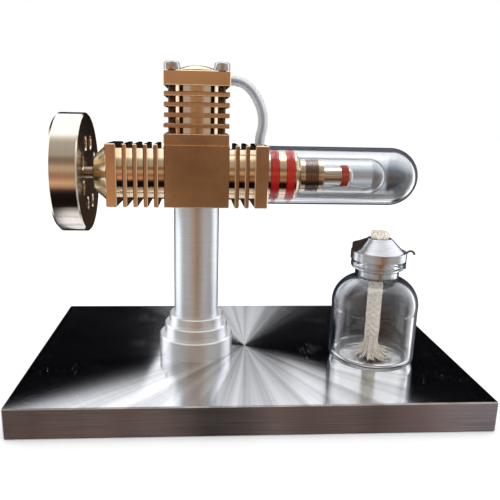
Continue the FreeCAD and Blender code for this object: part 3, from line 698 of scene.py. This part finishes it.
# the wall behind, as the glass shows it: (height of the line of sight, light), the height from -0.5 to 0.5
BEHIND_GLASS = [(0.0, (0.80, 0.83, 0.87)), (0.10, (0.55, 0.58, 0.62)), (0.15, (0.014, 0.016, 0.022)),
                (0.28, (0.012, 0.014, 0.02)), (0.33, (0.30, 0.33, 0.37)), (0.365, (0.50, 0.54, 0.60)),
                (0.405, (0.20, 0.22, 0.25)), (0.44, (0.24, 0.27, 0.32)), (0.50, (0.82, 0.86, 0.92)),
                (0.75, (1.0, 1.0, 1.0)), (1.0, (1.0, 1.0, 1.0))]
BEHIND_RIGHT = [(0.0, (0.80, 0.83, 0.87)), (0.10, (0.45, 0.48, 0.52)), (0.15, (0.012, 0.014, 0.02)),
                (0.35, (0.012, 0.015, 0.022)), (0.38, (0.025, 0.03, 0.045)), (0.41, (0.05, 0.05, 0.055)),
                (0.44, (0.10, 0.11, 0.14)), (0.50, (0.48, 0.53, 0.60)), (0.75, (1.0, 1.0, 1.0)),
                (1.0, (1.0, 1.0, 1.0))]


def make_world():
    """Plain soft light on dull surfaces, and for metal and glass a made-up room to mirror and show.

    The room is white overhead and at the sides, dim and warm in front, and dark low behind.
    """
    world = bpy.data.worlds.new("studio")
    world.use_nodes = True
    scene.world = world
    tree = Tree(world.node_tree)
    x, y, z = tree.xyz(tree.add("TexCoord").outputs["Generated"])
    ahead = tree.times(y, -1.0)
    angle = tree.math("ARCTAN2", z, ahead)
    stops = [((a + 180) / 360, tuple(c / BRIGHTEST for c in light)) for a, light in ROOM]
    room = tree.ramp(tree.fit(angle, -math.pi, math.pi), stops)
    room = tree.mix(1.0, room, (BRIGHTEST,) * 3, "MULTIPLY")

    # straight ahead and a little down, the room is darker, as if someone stood in its light
    across = tree.ramp(tree.fit(x, -0.5, 0.5), [(0.0, 0.9), (0.30, 1.0), (0.38, 0.9), (0.46, 0.40),
                                               (0.54, 0.34), (0.62, 0.45), (0.74, 0.7), (1.0, 0.9)])
    low = tree.fit(angle, math.radians(-5), math.radians(3), 1.0, 0.0, smooth=True)
    room = tree.mix(low, room, tree.mix(1.0, room, across, "MULTIPLY"))

    # to each side: grey, then white
    facing = tree.math("DIVIDE", ahead, tree.math("MAXIMUM", tree.away(x, y), 0.001))
    not_high = tree.fit(z, 0.55, 0.75, 1.0, 0.0, smooth=True)
    not_low = tree.fit(z, -0.62, -0.42, smooth=True)
    grey = tree.times(tree.fit(facing, 0.95, 0.80, smooth=True), tree.times(not_high, not_low))
    room = tree.mix(grey, room, SIDE_GREY)
    to_the_side = tree.fit(facing, 0.16, -0.06, smooth=True)
    white = tree.times(to_the_side, tree.fit(z, -0.75, -0.45, smooth=True))
    room = tree.mix(white, room, SIDE_WHITE)

    # behind: dark up to an edge that rises to both sides
    behind = tree.math("MAXIMUM", y, 0.0001)
    slant, rise = tree.math("DIVIDE", x, behind), tree.math("DIVIDE", z, behind)
    widest = DARK_EDGE[-1][0]
    edge = tree.ramp(tree.fit(slant, -widest, widest), [((u / widest + 1) / 2, v) for u, v in DARK_EDGE])
    over = tree.minus(rise, edge)
    dark = tree.times(tree.fit(over, -0.012, 0.012, 1.0, 0.0),
                      tree.fit(tree.math("ABSOLUTE", slant), 0.9, 1.3, 1.0, 0.0))
    # a dark shape in the light above that edge
    shape_slant, shape_rise = 0.115, 0.487
    aside = tree.math("ABSOLUTE", tree.minus(slant, shape_slant))
    level = tree.math("ABSOLUTE", tree.minus(rise, shape_rise))
    shape = tree.times(tree.fit(aside, 0.05, 0.10, 0.95, 0.0, smooth=True),
                       tree.fit(level, 0.03, 0.05, 1.0, 0.0, smooth=True))
    behind_room = tree.mix(tree.fit(z, -0.10, 0.03), BACK_LOW, BACK_DARK)
    room = tree.mix(dark, room, behind_room)
    mirrored = tree.add("Background", tree.mix(shape, room, behind_room), 1.0)

    # seen through glass: straight behind, the far wall by height; elsewhere the room, and soft light
    soft_light = tree.mix(tree.fit(z, -0.2, 0.9), (0.85, 0.85, 0.87), (1.3, 1.3, 1.3))
    wall = tree.ramp(tree.fit(z, -0.5, 0.5), BEHIND_GLASS)
    right_wall = tree.ramp(tree.fit(z, -0.5, 0.5), BEHIND_RIGHT)
    wall = tree.mix(tree.fit(slant, 0.335, 0.355, smooth=True), wall, right_wall)
    clear = tree.fit(y, 0.66, 0.80, smooth=True)
    path = tree.add("LightPath").outputs
    lit = tree.math("GREATER_THAN", path["Diffuse Depth"], 0.5)
    through = tree.add("Background", tree.mix(lit, tree.mix(clear, room, wall), soft_light), 1.0)
    soft = tree.add("Background", soft_light, 1.0)
    backdrop = tree.add("Background", (1, 1, 1, 1), 1.0)
    shown = tree.add("MixShader", path["Is Glossy Ray"], soft.outputs[0], mirrored.outputs[0])
    shown = tree.add("MixShader", path["Is Transmission Ray"], shown.outputs[0], through.outputs[0])
    shown = tree.add("MixShader", path["Is Camera Ray"], shown.outputs[0], backdrop.outputs[0])
    tree.add("OutputWorld", shown.outputs[0])


def make_light():
    """A weak soft box overhead, which only shapes the shadows."""
    data = bpy.data.lights.new("soft_box", "AREA")
    data.shape = "RECTANGLE"
    data.size, data.size_y = 0.5, 0.3
    data.energy = 1.0
    light = bpy.data.objects.new("soft_box", data)
    light.location = (0.05, 0.0, 0.7)
    light.visible_glossy = False
    light.visible_camera = False
    scene.collection.objects.link(light)


make_camera()
make_hose(hose_skin().material)
make_wick(cotton().material)
finish_nodes()
make_floor()
make_world()
make_light()
scene.view_settings.view_transform = "Standard"
scene.cycles.max_bounces = scene.cycles.transmission_bounces = 24
scene.cycles.glossy_bounces = 8
